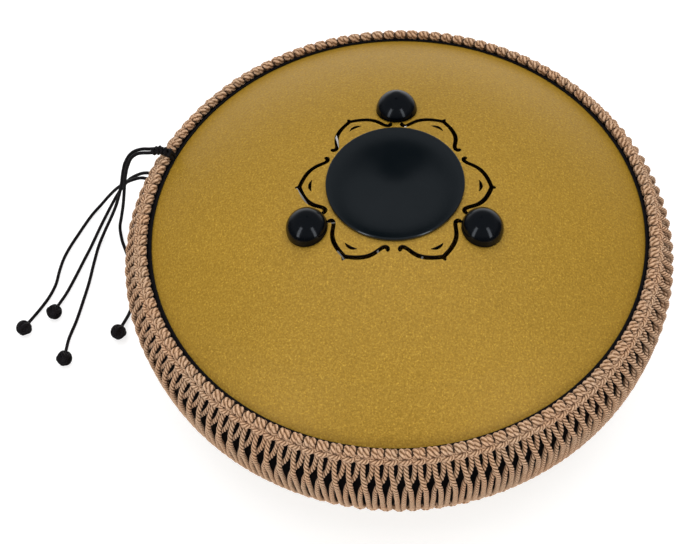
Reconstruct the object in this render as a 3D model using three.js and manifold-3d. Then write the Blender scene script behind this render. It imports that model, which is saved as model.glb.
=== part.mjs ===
// Tongue drum lying face down: two pressed steel shells welded at the rim, a rope belt over a rubber band,
// rubber feet, a plug in the hole of the underside, and a cord tie whose ends are knotted.
// Millimetres, +Z up. The drum rests on the flat crown of its playing face at z = 0, with its feet up.
import * as THREE from "three";
import { mergeVertices } from "three/addons/utils/BufferGeometryUtils.js";
import Module from "manifold-3d";

const wasm = await Module();
wasm.setup();

// Gap between two pieces that touch on the real drum
const CLEARANCE = 0.3;

// Steel shells, a 14 inch drum
const SHELL_RADIUS = 179;
const SHELL_WALL = 1.8;
const DOME_RADIUS = 290;
const SHOULDER_RADIUS = 30;
const SIDE_HALF_HEIGHT = 10.5;
const CROWN_FLAT_RADIUS = 30;
const WELD_HALF_HEIGHT = 1.2;
const SHELL_SEGMENTS = 40;
const DOME_STEPS = 4;
const SHOULDER_STEPS = 3;

// Lotus slits of the underside: a curled foot at the hole side, an ogee flank, a pointed tip
const PETAL_COUNT = 6;
const PETAL_FIRST_ANGLE = 0.8;
const PETAL_SLIT = 2.4;
const PETAL_FOOT_RADIUS = 45.2;
const PETAL_HALF_WIDTH = 19.2;
const PETAL_JOINT_RADIUS = 62.7;
const PETAL_TIP_RADIUS = 65.1;
const PETAL_CURL_RADIUS = 1.7;
const PETAL_CURL_TURN = 150;
const CRESCENT_RADIUS = 56.7;
const CRESCENT_HALF_LENGTH = 4.2;
const CRESCENT_WIDTH = 2.2;

// Tongues of the playing side: the lowest note is the longest tongue, each next note is shorter
const OUTER_TONGUES = { count: 9, root: 150, length: 66, rootWidth: 50, tipWidth: 36, firstNote: 0 };
const INNER_TONGUES = { count: 6, root: 72, length: 36, rootWidth: 30, tipWidth: 22, firstNote: 9 };
const TONGUE_SLIT = 1.8;
const NOTE_STEPS_TO_HALVE = 36;

// Cover in the hole of the underside
const HOLE_RADIUS = 34;
const COVER_RADIUS = 45.2;
const COVER_EDGE = 2.6;
const COVER_DISH = 1.8;
const COVER_LIP = 3;
const PLUG_WALL = 3;
const PLUG_DEPTH = 9;

// Rubber feet
const FOOT_COUNT = 3;
const FOOT_CIRCLE_RADIUS = 64.6;
const FOOT_FIRST_ANGLE = 90.8;
const FOOT_RADIUS = 13.8;
const FOOT_HEIGHT = 13.5;
const FOOT_TIP_RADIUS = 3;
const STEM_RADIUS = 4;
const STEM_HEAD_RADIUS = 6;
const STEM_HEAD_LENGTH = 5;

// Rubber band over the rim
const BAND_WALL = 1.1;

// Rope belt
const ROPE_DIAMETER = 3;
const BELT_UNITS = 126;
const BRAID_RADIUS = 3;
const BRAID_DENT = 0.9;
const BRAID_ANGLE = 41.2;
const NET_LIFT = 4.2;
const GAP_TOP_ANGLE = 68;
const GAP_SHARE = 0.56;
const NET_BEND_HEIGHT = 17;
const NET_BEND_DROP = 0.8;

// Cord tie
const CORD_DIAMETER = 2.5;
const CORD_STEPS = 18;
const TIE_ANGLE = 160.5;
const TIE_RADIUS = 2.6;
const LOWER_TIE_UNIT = 55;
const LOWER_TIE_DROP = 17.5;
const LOWER_TIE_RADIUS = 4.5;
const KNOT_RADIUS = 6;
const KNOT_LENGTH = 13.5;

const radians = THREE.MathUtils.degToRad;
const mix = THREE.MathUtils.lerp;

// Centres of the dome and the shoulder, from the weld plane, so that both arcs and the side wall are tangent
const SHOULDER_CENTRE = SHELL_RADIUS - SHOULDER_RADIUS;
const DOME_CENTRE =
  SIDE_HALF_HEIGHT - Math.sqrt((DOME_RADIUS - SHOULDER_RADIUS) ** 2 - SHOULDER_CENTRE ** 2);
const TANGENT_ANGLE = Math.asin(SHOULDER_CENTRE / (DOME_RADIUS - SHOULDER_RADIUS));

// Height of the dome over the weld plane at a radius, and of the weld plane over the floor
const domeHeight = (radius, lift = 0) => DOME_CENTRE + Math.sqrt((DOME_RADIUS + lift) ** 2 - radius ** 2);
const WELD_PLANE = domeHeight(CROWN_FLAT_RADIUS);

function solidOf(geometry) {
  geometry.deleteAttribute("normal");
  geometry.deleteAttribute("uv");
  const merged = mergeVertices(geometry, 1e-3);
  const vertProperties = new Float32Array(merged.attributes.position.array);
  const triVerts = new Uint32Array(merged.index.array);
  return new wasm.Manifold(new wasm.Mesh({ numProp: 3, vertProperties, triVerts }));
}

function geometryOf(solid) {
  const mesh = solid.getMesh();
  const geometry = new THREE.BufferGeometry();
  geometry.setAttribute("position", new THREE.BufferAttribute(mesh.vertProperties, 3));
  geometry.setIndex(new THREE.BufferAttribute(mesh.triVerts, 1));
  return geometry;
}

function cut(geometry, cutters) {
  return geometryOf(cutters.reduce((solid, cutter) => solid.subtract(solidOf(cutter)), solidOf(geometry)));
}

// A profile of [radius, height] pairs turned about the Z axis
function turned(profile, segments) {
  const points = profile.map(([radius, height]) => new THREE.Vector2(radius, height));
  return new THREE.LatheGeometry(points, segments).rotateX(Math.PI / 2);
}

function tube(curve, radius, steps, sides = 7) {
  const section = new THREE.Shape();
  for (let i = 0; i < sides; i++) {
    const angle = (2 * Math.PI * i) / sides;
    section.lineTo(radius * Math.cos(angle), radius * Math.sin(angle));
  }
  section.closePath();
  return new THREE.ExtrudeGeometry(section, { steps, extrudePath: curve });
}

function piece(name, geometry, color, roughness, metalness) {
  geometry.deleteAttribute("uv");
  geometry.computeVertexNormals();
  const mesh = new THREE.Mesh(geometry, new THREE.MeshStandardMaterial({ color, roughness, metalness }));
  mesh.name = name;
  return mesh;
}

// Arc of the dome and of the shoulder, lying lift outside the steel, as [radius, height over the weld plane]
function domeArc(lift, fromRadius) {
  const radius = DOME_RADIUS + lift;
  const first = Math.asin(fromRadius / radius);
  return Array.from({ length: DOME_STEPS }, (_, i) => {
    const angle = mix(first, TANGENT_ANGLE, i / DOME_STEPS);
    return [radius * Math.sin(angle), DOME_CENTRE + radius * Math.cos(angle)];
  });
}

function shoulderPoint(lift, angle) {
  const radius = SHOULDER_RADIUS + lift;
  return [SHOULDER_CENTRE + radius * Math.sin(angle), SIDE_HALF_HEIGHT + radius * Math.cos(angle)];
}

function shoulderArc(lift) {
  return Array.from({ length: SHOULDER_STEPS + 1 }, (_, i) =>
    shoulderPoint(lift, mix(TANGENT_ANGLE, Math.PI / 2, i / SHOULDER_STEPS)),
  );
}

// Closed section of a shell from fromRadius to the welded edge, outside first
function shellSection(fromRadius) {
  const outside = [...domeArc(0, fromRadius), ...shoulderArc(0)];
  const inside = [...domeArc(-SHELL_WALL, fromRadius), ...shoulderArc(-SHELL_WALL)];
  const edge = [
    [SHELL_RADIUS, WELD_HALF_HEIGHT],
    [SHELL_RADIUS - SHELL_WALL, WELD_HALF_HEIGHT],
  ];
  return { outside, edge, inside: inside.reverse() };
}

// Closed outline of a slit of even width along a centre line that ends on the line of symmetry.
// Each apex is where the left or right side of the slit crosses that line.
function slitOutline(centre, width, leftApex, rightApex) {
  const half = width / 2;
  const sides = [1, -1].map((side) =>
    centre.map((point, i) => {
      const ahead = centre[Math.min(i + 1, centre.length - 1)];
      const behind = centre[Math.max(i - 1, 0)];
      const along = ahead.clone().sub(behind).normalize();
      return new THREE.Vector2(point.x - side * half * along.y, point.y + side * half * along.x);
    }),
  );
  const clear = (points) => points.filter((point) => point.y > half / 4);
  const mirror = (points) => points.map((point) => new THREE.Vector2(point.x, -point.y)).reverse();
  const whole = (points, apex) => [...points, new THREE.Vector2(apex, 0), ...mirror(points)];
  const [left, right] = sides.map(clear);
  return [...whole(left, leftApex), ...whole(right, rightApex).reverse()];
}

// A plan outline cut straight down through a dome
function planCutter(outline, angle) {
  const depth = domeHeight(0) + SHELL_WALL - SIDE_HALF_HEIGHT;
  const shape = new THREE.Shape(outline);
  const cutter = new THREE.ExtrudeGeometry(shape, { depth, bevelEnabled: false });
  return cutter.translate(0, 0, SIDE_HALF_HEIGHT).rotateZ(angle);
}

// Half of a lotus petal: the flank from the tip is a cubic curve, then an arc curls its foot outward
function petalOutline() {
  const foot = new THREE.Vector2(PETAL_FOOT_RADIUS, PETAL_HALF_WIDTH);
  const joint = new THREE.Vector2(PETAL_JOINT_RADIUS, 0);
  const reach = PETAL_JOINT_RADIUS - PETAL_FOOT_RADIUS;
  const hollow = new THREE.Vector2(foot.x + 0.2 * reach, 0.8 * foot.y);
  const belly = new THREE.Vector2(foot.x + 0.68 * reach, 0.95 * foot.y);
  const flank = new THREE.CubicBezierCurve(foot, hollow, belly, joint).getPoints(7);
  const away = foot.clone().sub(hollow).normalize();
  const pin = new THREE.Vector2(foot.x + PETAL_CURL_RADIUS * away.y, foot.y - PETAL_CURL_RADIUS * away.x);
  const spoke = foot.clone().sub(pin);
  const curl = [1, 0.66, 0.33].map((share) =>
    spoke.clone().rotateAround(new THREE.Vector2(), -share * radians(PETAL_CURL_TURN)).add(pin),
  );
  const slope = joint.clone().sub(flank[flank.length - 2]).normalize();
  return slitOutline([...curl, ...flank], PETAL_SLIT, PETAL_TIP_RADIUS, joint.x + PETAL_SLIT / 2 / slope.y);
}

function crescentOutline() {
  const steps = [-1, -0.5, 0, 0.5, 1];
  const bow = CRESCENT_HALF_LENGTH / 3;
  const edge = (depth) =>
    steps.map((t) => {
      const radius = CRESCENT_RADIUS - bow * t * t - depth * (1 - t * t);
      return new THREE.Vector2(radius, t * CRESCENT_HALF_LENGTH);
    });
  return [...edge(0), ...edge(CRESCENT_WIDTH).slice(1, -1).reverse()];
}

// Place on the dome of the underside with +Z along the outward normal
function onDome(radius, degrees) {
  const place = new THREE.Group();
  const angle = radians(degrees);
  place.position.set(radius * Math.cos(angle), radius * Math.sin(angle), WELD_PLANE + domeHeight(radius));
  const normal = new THREE.Vector3(place.position.x, place.position.y, domeHeight(radius) - DOME_CENTRE);
  place.quaternion.setFromUnitVectors(new THREE.Vector3(0, 0, 1), normal.normalize());
  return place;
}

const footAngle = (index) => FOOT_FIRST_ANGLE + (360 * index) / FOOT_COUNT;

function stemCutter(index) {
  const place = onDome(FOOT_CIRCLE_RADIUS, footAngle(index));
  place.position.z -= WELD_PLANE;
  place.updateMatrix();
  const bore = new THREE.CylinderGeometry(STEM_RADIUS, STEM_RADIUS, 6 * SHELL_WALL, 12);
  return bore.rotateX(Math.PI / 2).applyMatrix4(place.matrix);
}

function footShell() {
  const { outside, edge, inside } = shellSection(HOLE_RADIUS);
  const blank = turned([...outside, ...edge, ...inside, outside[0]].reverse(), SHELL_SEGMENTS);
  const cutters = [];
  for (let i = 0; i < PETAL_COUNT; i++) {
    const angle = radians(PETAL_FIRST_ANGLE + (360 * i) / PETAL_COUNT);
    cutters.push(planCutter(petalOutline(), angle), planCutter(crescentOutline(), angle));
  }
  for (let i = 0; i < FOOT_COUNT; i++) {
    cutters.push(stemCutter(i));
  }
  const shell = piece("foot_shell", cut(blank, cutters), 0xc9b07e, 0.42, 0.75);
  shell.position.z = WELD_PLANE;
  return shell;
}

// U-shaped slit that frees one tongue: straight flanks from the root, a half ellipse round the tip
function tongueOutline(ring, note) {
  const length = ring.length * 2 ** (-(note - ring.firstNote) / NOTE_STEPS_TO_HALVE);
  const tip = ring.root - length;
  const nose = ring.tipWidth / 3;
  const centre = [new THREE.Vector2(ring.root, ring.rootWidth / 2)];
  for (let i = 0; i < 4; i++) {
    const angle = (Math.PI / 2) * (i / 4);
    centre.push(new THREE.Vector2(tip + nose * (1 - Math.sin(angle)), (ring.tipWidth / 2) * Math.cos(angle)));
  }
  return slitOutline(centre, TONGUE_SLIT, tip + TONGUE_SLIT / 2, tip - TONGUE_SLIT / 2);
}

function tongueShell() {
  const { outside, edge, inside } = shellSection(CROWN_FLAT_RADIUS);
  const middle = [0, domeHeight(CROWN_FLAT_RADIUS)];
  const under = [0, domeHeight(CROWN_FLAT_RADIUS, -SHELL_WALL)];
  const blank = turned([middle, ...outside, ...edge, ...inside, under].reverse(), SHELL_SEGMENTS);
  const cutters = [];
  for (const ring of [OUTER_TONGUES, INNER_TONGUES]) {
    for (let i = 0; i < ring.count; i++) {
      cutters.push(planCutter(tongueOutline(ring, ring.firstNote + i), (2 * Math.PI * i) / ring.count));
    }
  }
  const shell = piece("tongue_shell", cut(blank, cutters), 0xc9b07e, 0.42, 0.75);
  shell.rotation.x = Math.PI;
  shell.position.z = WELD_PLANE;
  return shell;
}

function rimWeld() {
  const half = WELD_HALF_HEIGHT - CLEARANCE;
  const inside = SHELL_RADIUS - SHELL_WALL;
  const section = [
    [inside, -half],
    [SHELL_RADIUS, -half],
    [SHELL_RADIUS, half],
    [inside, half],
    [inside, -half],
  ];
  const weld = piece("rim_weld", turned(section, SHELL_SEGMENTS), 0x6f6a60, 0.55, 0.9);
  weld.position.z = WELD_PLANE;
  return weld;
}

const mirrored = (points) => points.map(([radius, height]) => [radius, -height]).reverse();

function rimBand() {
  const upperOut = shoulderArc(CLEARANCE + BAND_WALL);
  const upperIn = shoulderArc(CLEARANCE);
  const outside = [...upperOut, ...mirrored(upperOut)];
  const inside = [...upperIn, ...mirrored(upperIn)];
  const section = [outside[0], ...inside, ...outside.reverse()];
  const band = piece("rim_band", turned(section, SHELL_SEGMENTS), 0x1b1b1d, 0.75, 0);
  band.position.z = WELD_PLANE;
  return band;
}

function holeCover() {
  const seat = (radius) => domeHeight(radius, CLEARANCE);
  const plug = HOLE_RADIUS - CLEARANCE;
  const rim = seat(COVER_RADIUS) + COVER_EDGE;
  const web = rim - COVER_DISH - COVER_LIP;
  const floor = domeHeight(HOLE_RADIUS, -SHELL_WALL) - PLUG_DEPTH + COVER_EDGE;
  const section = [
    [0, rim - COVER_DISH],
    [0.55 * COVER_RADIUS, rim - 0.75 * COVER_DISH],
    [0.85 * COVER_RADIUS, rim],
    [COVER_RADIUS - 0.4 * COVER_EDGE, rim],
    [COVER_RADIUS, rim - 0.4 * COVER_EDGE],
    [COVER_RADIUS, seat(COVER_RADIUS)],
    [plug, seat(plug)],
    [plug, floor],
    [plug - PLUG_WALL, floor],
    [plug - PLUG_WALL, web],
    [0, web],
  ];
  const cover = piece("hole_cover", turned(section.reverse(), 36), 0x17181a, 0.5, 0);
  cover.position.z = WELD_PLANE;
  return cover;
}

// Dome with a small flat tip, a stem through the shell and a head that holds it from inside
function foot(index) {
  const stem = STEM_RADIUS - CLEARANCE;
  const under = -SHELL_WALL - 3 * CLEARANCE;
  const section = [[0, FOOT_HEIGHT]];
  const first = Math.asin(FOOT_TIP_RADIUS / FOOT_RADIUS);
  for (let i = 0; i <= 5; i++) {
    const angle = mix(first, Math.PI / 2, i / 5);
    const height = (FOOT_HEIGHT * Math.cos(angle)) / Math.cos(first);
    section.push([FOOT_RADIUS * Math.sin(angle), Math.max(height, 2 * CLEARANCE)]);
  }
  section.push([FOOT_RADIUS - 0.5, CLEARANCE], [stem, CLEARANCE], [stem, under], [STEM_HEAD_RADIUS, under]);
  section.push([stem, under - STEM_HEAD_LENGTH], [0, under - STEM_HEAD_LENGTH]);
  const place = onDome(FOOT_CIRCLE_RADIUS, footAngle(index));
  place.add(piece(`foot_${index + 1}`, turned(section.reverse(), 14), 0x0d0d0e, 0.16, 0));
  return place;
}

// Centre of the braid's round section, as [radius, height over the weld plane]
const BAND_OUTSIDE = CLEARANCE + BAND_WALL;
const BRAID_CENTRE = shoulderPoint(BAND_OUTSIDE + CLEARANCE + BRAID_RADIUS, radians(BRAID_ANGLE));

// Closed surface from rings of points: rings[i][j] is point j of ring i, both ways round
function ringSurface(rings) {
  const rows = rings[0].length;
  const position = rings.flat(2);
  const index = [];
  for (let i = 0; i < rings.length; i++) {
    for (let j = 0; j < rows; j++) {
      const a = i * rows + j;
      const b = i * rows + ((j + 1) % rows);
      const c = ((i + 1) % rings.length) * rows + ((j + 1) % rows);
      const d = ((i + 1) % rings.length) * rows + j;
      index.push(a, b, c, a, c, d);
    }
  }
  const geometry = new THREE.BufferGeometry();
  geometry.setAttribute("position", new THREE.Float32BufferAttribute(position, 3));
  geometry.setIndex(index);
  return geometry;
}

const polar = (radius, angle, height) => [radius * Math.cos(angle), radius * Math.sin(angle), height];

// Knotted edge of the belt: one hump and one dent for each unit
function edgeBraid(name, side) {
  const rings = [];
  for (let i = 0; i < 2 * BELT_UNITS; i++) {
    const angle = (Math.PI * i) / BELT_UNITS;
    const size = i % 2 ? BRAID_RADIUS - BRAID_DENT : BRAID_RADIUS;
    const ring = [90, 210, 330].map((turn) => {
      const spoke = radians(turn - BRAID_ANGLE);
      const height = BRAID_CENTRE[1] + size * Math.sin(spoke);
      return polar(BRAID_CENTRE[0] + size * Math.cos(spoke), angle, side * height);
    });
    rings.push(side > 0 ? ring.reverse() : ring);
  }
  const braid = piece(name, ringSurface(rings), 0xc7a98d, 0.85, 0);
  braid.position.z = WELD_PLANE;
  return braid;
}

// Where the strands meet the braids, as [radius, height over the weld plane], and their place at the rim
const NET_EDGE = [BRAID_CENTRE[0] + 0.7 * BRAID_RADIUS, BRAID_CENTRE[1] - BRAID_RADIUS - CLEARANCE];
const NET_INSIDE = SHELL_RADIUS + NET_LIFT;
const NET_OUTSIDE = NET_INSIDE + 1.4 * ROPE_DIAMETER;

// Crossed strands between the braids: one wall that bends over the shoulders, with a diamond gap in each unit
function ropeNet() {
  const position = [];
  const index = [];
  const point = (inside, outside, angle, height) => {
    position.push(...polar(inside, angle, height), ...polar(outside, angle, height));
    return { in: position.length / 3 - 2, out: position.length / 3 - 1 };
  };
  const step = (2 * Math.PI) / BELT_UNITS;
  const half = (GAP_SHARE * step) / 2;
  const gapTop = shoulderPoint(BAND_OUTSIDE + 4 * CLEARANCE, radians(GAP_TOP_ANGLE));
  const units = Array.from({ length: BELT_UNITS }, (_, i) => {
    const strand = i * step;
    const gap = strand + step / 2;
    const edge = (side) =>
      point(NET_EDGE[0] - ROPE_DIAMETER / 3, NET_EDGE[0] + ROPE_DIAMETER, strand, side * NET_EDGE[1]);
    const bend = (side) =>
      point(NET_INSIDE - NET_BEND_DROP, NET_OUTSIDE - 1.5 * NET_BEND_DROP, strand, side * NET_BEND_HEIGHT);
    const tip = (side) => point(gapTop[0], gapTop[0] + ROPE_DIAMETER, gap, side * gapTop[1]);
    const flank = (side) => point(NET_INSIDE, NET_OUTSIDE - ROPE_DIAMETER / 2, gap + side * half, 0);
    return {
      strand: [edge(1), bend(1), bend(-1), edge(-1)],
      gap: [tip(1), flank(-1), tip(-1), flank(1)],
    };
  });
  const face = (a, b, c) => index.push(a.out, b.out, c.out, a.in, c.in, b.in);
  const wall = (a, b) => index.push(a.out, b.in, a.in, a.out, b.out, b.in);
  units.forEach((unit, i) => {
    const [top, left, bottom, right] = unit.gap;
    const [a, b, c, d] = unit.strand;
    const [e, f, g, h] = units[(i + 1) % BELT_UNITS].strand;
    face(a, top, e);
    face(a, b, top);
    face(b, left, top);
    face(b, c, left);
    face(c, d, bottom);
    face(c, bottom, left);
    face(bottom, d, h);
    face(e, top, f);
    face(top, right, f);
    face(f, right, g);
    face(g, right, bottom);
    face(g, bottom, h);
    wall(top, left);
    wall(left, bottom);
    wall(bottom, right);
    wall(right, top);
    wall(a, e);
    wall(h, d);
  });
  const geometry = new THREE.BufferGeometry();
  geometry.setAttribute("position", new THREE.Float32BufferAttribute(position, 3));
  geometry.setIndex(index);
  const net = piece("rope_net", geometry, 0xc7a98d, 0.85, 0);
  net.position.z = WELD_PLANE;
  return net;
}

// Hand-chosen routes of the four free ends, from the tie on the belt to the knot on the floor
const STRAND_ROUTES = [
  [
    [-165.3, 60.2, 127.1],
    [-170.2, 59.9, 127.3],
    [-175.6, 59.8, 126.9],
    [-180.0, 60.2, 126.3],
    [-185.5, 60.6, 123.9],
    [-190.7, 61.1, 118.6],
    [-196.0, 62.4, 108.0],
    [-201.2, 65.8, 91.4],
    [-206.1, 69.8, 72.5],
    [-212.3, 74.1, 51.2],
    [-219.4, 78.0, 29.9],
    [-226.3, 78.3, 13.4],
    [-231.7, 71.7, 5.0],
    [-235.2, 60.8, 1.9],
    [-236.9, 45.0, 1.5],
    [-238.2, 26.7, 1.5],
    [-240.4, 9.6, 1.5],
    [-242.9, -7.3, 1.6],
    [-246.2, -23.1, 1.8],
    [-246.1, -35.8, 4.8],
  ],
  [
    [-166.4, 57.1, 127.1],
    [-171.2, 56.3, 127.6],
    [-175.8, 55.9, 127.5],
    [-179.9, 56.2, 127.0],
    [-184.6, 56.8, 124.8],
    [-189.2, 57.2, 119.6],
    [-193.8, 58.6, 108.8],
    [-198.4, 61.8, 93.4],
    [-202.9, 66.4, 75.0],
    [-207.3, 70.8, 55.9],
    [-211.9, 74.5, 36.4],
    [-217.0, 77.9, 16.9],
    [-220.1, 76.1, 4.4],
    [-217.8, 66.8, 1.8],
    [-213.4, 56.5, 1.5],
    [-207.9, 44.6, 1.5],
    [-203.4, 30.0, 1.5],
    [-201.8, 14.7, 1.6],
    [-203.2, 1.4, 1.8],
    [-206.8, -12.7, 4.8],
  ],
  [
    [-179.6, 75.7, 70.7],
    [-185.6, 80.2, 70.3],
    [-192.2, 84.4, 65.4],
    [-199.1, 87.7, 58.3],
    [-206.8, 91.8, 47.7],
    [-215.4, 95.8, 32.3],
    [-223.8, 98.6, 15.7],
    [-230.7, 95.4, 3.9],
    [-234.6, 85.5, 1.8],
    [-237.8, 74.0, 1.5],
    [-241.1, 60.8, 1.5],
    [-245.3, 46.3, 1.5],
    [-249.4, 32.0, 1.5],
    [-253.9, 17.4, 1.8],
    [-258.0, 3.9, 4.8],
  ],
  [
    [-179.6, 75.7, 66.1],
    [-187.0, 78.6, 65.0],
    [-193.9, 81.7, 62.9],
    [-201.0, 84.0, 57.8],
    [-210.1, 88.6, 46.9],
    [-220.4, 95.2, 30.6],
    [-230.4, 100.0, 13.7],
    [-238.2, 99.1, 3.3],
    [-243.9, 91.6, 1.7],
    [-248.8, 81.5, 1.5],
    [-253.2, 70.9, 1.5],
    [-257.6, 60.0, 1.5],
    [-261.0, 48.8, 1.5],
    [-262.7, 37.2, 1.5],
    [-263.6, 25.3, 1.5],
    [-266.6, 14.5, 1.5],
    [-271.7, 3.2, 1.8],
    [-277.8, -11.0, 4.8],
  ],
];

const BLACK_CORD = [0x151518, 0.7, 0];

function strand(index) {
  const route = new THREE.CatmullRomCurve3(STRAND_ROUTES[index].map((point) => new THREE.Vector3(...point)));
  console.log(`tie_strand_${index + 1} length ${route.getLength().toFixed(1)} mm`);
  return piece(`tie_strand_${index + 1}`, tube(route, CORD_DIAMETER / 2, CORD_STEPS), ...BLACK_CORD);
}

// Ball of crossing wraps, whose surface swells and dips around and along
function ballKnot(radius, length) {
  const ball = new THREE.SphereGeometry(1, 12, 8);
  const position = ball.attributes.position;
  const point = new THREE.Vector3();
  for (let i = 0; i < position.count; i++) {
    point.fromBufferAttribute(position, i);
    const wrap = Math.cos(4 * Math.atan2(point.z, point.x)) * Math.cos(4 * Math.asin(point.y));
    const swell = 0.96 + 0.04 * wrap;
    position.setXYZ(i, (point.x * swell * length) / 2, point.y * swell * radius, point.z * swell * radius);
  }
  return ball;
}

function endKnot(index) {
  const route = STRAND_ROUTES[index];
  const end = new THREE.Vector3(...route[route.length - 1]);
  const along = end.clone().sub(new THREE.Vector3(...route[route.length - 2])).setZ(0).normalize();
  const knot = piece(`end_knot_${index + 1}`, ballKnot(KNOT_RADIUS, KNOT_LENGTH), ...BLACK_CORD);
  knot.position.copy(end).addScaledVector(along, KNOT_LENGTH / 2 + CLEARANCE);
  knot.position.z = KNOT_RADIUS + 0.1;
  knot.rotation.z = Math.atan2(along.y, along.x);
  return knot;
}

// Cord doubled over the upper braid
function upperTie() {
  const reach = BRAID_RADIUS + CLEARANCE + TIE_RADIUS;
  const angle = radians(TIE_ANGLE);
  const points = [150, 125, 100, 75, 55].map((turn) => {
    const radius = BRAID_CENTRE[0] + reach * Math.cos(radians(turn));
    const height = WELD_PLANE + BRAID_CENTRE[1] + reach * Math.sin(radians(turn));
    return new THREE.Vector3(...polar(radius, angle, height));
  });
  return piece("tie_knot_upper", tube(new THREE.CatmullRomCurve3(points), TIE_RADIUS, 6), ...BLACK_CORD);
}

function lowerTie() {
  const knot = piece("tie_knot_lower", ballKnot(LOWER_TIE_RADIUS, 2 * LOWER_TIE_RADIUS), ...BLACK_CORD);
  const seat = NET_OUTSIDE - 1.5 * NET_BEND_DROP;
  const angle = (2 * Math.PI * LOWER_TIE_UNIT) / BELT_UNITS;
  knot.position.set(...polar(seat + CLEARANCE / 2 + LOWER_TIE_RADIUS, angle, WELD_PLANE - LOWER_TIE_DROP));
  return knot;
}

const group = new THREE.Group();
group.name = "tongue_drum";
group.add(footShell(), tongueShell(), rimWeld(), rimBand(), holeCover());
for (let i = 0; i < FOOT_COUNT; i++) {
  group.add(foot(i));
}
group.add(edgeBraid("upper_edge_braid", 1), edgeBraid("lower_edge_braid", -1), ropeNet());
group.add(upperTie(), lowerTie());
for (let i = 0; i < STRAND_ROUTES.length; i++) {
  group.add(strand(i), endKnot(i));
}

export default group;
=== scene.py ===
# %% [markdown]
# A steel tongue drum, photographed lying face down on its playing side.
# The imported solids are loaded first, as a fixed frame in metres with +Z up. Every piece made below sits
# where a solid sits, rides on the solid's body, and stands for it with a finer shape and finish.

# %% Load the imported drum
import math

import bpy
import numpy as np
from mathutils import Matrix, Vector


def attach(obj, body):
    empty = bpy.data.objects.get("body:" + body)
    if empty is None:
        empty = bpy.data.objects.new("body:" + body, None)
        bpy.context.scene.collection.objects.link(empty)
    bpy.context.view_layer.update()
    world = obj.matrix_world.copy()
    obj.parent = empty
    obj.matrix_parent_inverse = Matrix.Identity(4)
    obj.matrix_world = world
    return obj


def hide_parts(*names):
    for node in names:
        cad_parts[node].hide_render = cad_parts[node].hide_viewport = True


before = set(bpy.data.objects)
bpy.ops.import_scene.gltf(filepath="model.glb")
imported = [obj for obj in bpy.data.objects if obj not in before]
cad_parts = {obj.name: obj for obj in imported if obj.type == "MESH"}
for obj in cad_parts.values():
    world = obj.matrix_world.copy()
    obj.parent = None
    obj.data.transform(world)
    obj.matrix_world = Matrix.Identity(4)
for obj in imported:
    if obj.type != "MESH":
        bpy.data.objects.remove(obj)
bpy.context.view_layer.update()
scene = bpy.context.scene
scene.view_settings.view_transform = "Standard"

# %% [markdown]
# The camera comes first, because every later choice is judged through it. Its place was found by fitting
# circles of the drum, such as the gold edge and the cover, to the photograph. That is better than placing it
# by eye: when a shape is off, the shape is wrong and not the view.

# %% The camera of the photograph
PHOTO_WIDTH, FOCAL_PIXELS, SENSOR_WIDTH = 688, 1475.1, 36
EYE = Vector((0.0308, -0.56735, 0.94386))
LOOK_AT = Vector((-0.03379, -0.03699, 0.12096))
CAMERA_ROLL = math.radians(-5.02)

lens = bpy.data.cameras.new("photo_camera")
lens.sensor_width = SENSOR_WIDTH
lens.lens = SENSOR_WIDTH * FOCAL_PIXELS / PHOTO_WIDTH
camera = bpy.data.objects.new("photo_camera", lens)
scene.collection.objects.link(camera)
aim = (LOOK_AT - EYE).to_track_quat("-Z", "Y").to_matrix().to_4x4()
camera.matrix_world = Matrix.Translation(EYE) @ aim @ Matrix.Rotation(CAMERA_ROLL, 4, "Z")
scene.camera = camera
print("camera", tuple(round(x, 3) for x in EYE), "lens", round(lens.lens, 1), "mm")

# %% [markdown]
# Meshes are written from arrays of points, in millimetres, and faces, which is the quickest way to make
# pieces of many thousand faces. The helper also makes the piece ride on a body and stand for its solids.

# %% A piece from points and faces
MM = 0.001


def make_piece(name, points, face_groups, finish, nodes, body="drum", straight=None):
    mesh = bpy.data.meshes.new(name)
    corners = np.concatenate([np.ravel(group) for group in face_groups])
    sizes = np.concatenate([np.full(len(group), group.shape[1]) for group in face_groups])
    mesh.vertices.add(len(points))
    mesh.vertices.foreach_set("co", (points * MM).ravel())
    mesh.loops.add(len(corners))
    mesh.loops.foreach_set("vertex_index", corners.astype(np.int32))
    mesh.polygons.add(len(sizes))
    mesh.polygons.foreach_set("loop_start", (np.cumsum(sizes) - sizes).astype(np.int32))
    mesh.polygons.foreach_set("use_smooth", np.ones(len(sizes), bool))
    if straight is not None:
        attribute = mesh.attributes.new("straight", "FLOAT_VECTOR", "POINT")
        attribute.data.foreach_set("vector", straight.astype(np.float32).ravel())
    mesh.update(calc_edges=True)
    mesh.validate()
    mesh.materials.append(finish.material)
    piece = bpy.data.objects.new(name, mesh)
    scene.collection.objects.link(piece)
    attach(piece, body)
    if nodes:
        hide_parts(*nodes)
    print(f"{name}: {len(sizes)} faces")
    return piece


# %% [markdown]
# Finishes are built from nodes. A small helper keeps each one readable: it makes a node, sets its values
# and joins the sockets that are given as links. Values that are the same all over go on the shader itself.

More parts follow.
